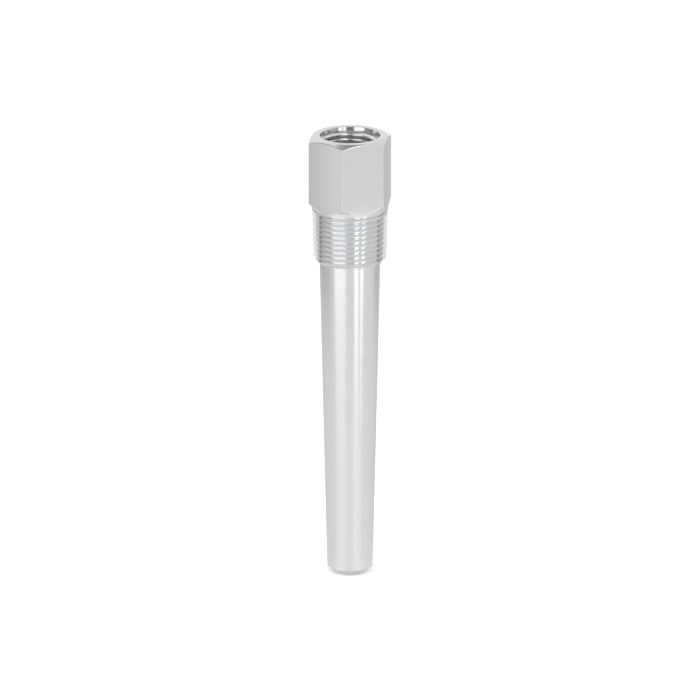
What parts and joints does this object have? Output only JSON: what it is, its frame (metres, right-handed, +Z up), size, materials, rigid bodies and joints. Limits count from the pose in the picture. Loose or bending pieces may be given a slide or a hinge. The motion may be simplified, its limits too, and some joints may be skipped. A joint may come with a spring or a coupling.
{
  "type": "threaded thermowell",
  "caption": "Threaded bar-stock thermowell: a hexagon head with a female instrument socket, a tapered male pipe thread, a tapered shank and a blind probe bore.",
  "frame": {"origin": "centre of the flat tip, the lowest face", "axes": "+Z up the axis, from the tip to the mouth of the instrument socket; two wrench flats face +Y and -Y"},
  "size_m": [0.0312, 0.027, 0.1603],
  "materials": {
    "steel": "fine turned and polished stainless steel"
  },
  "bodies": {
    "root": {"thermowell": "steel"}
  },
  "joints": []
}
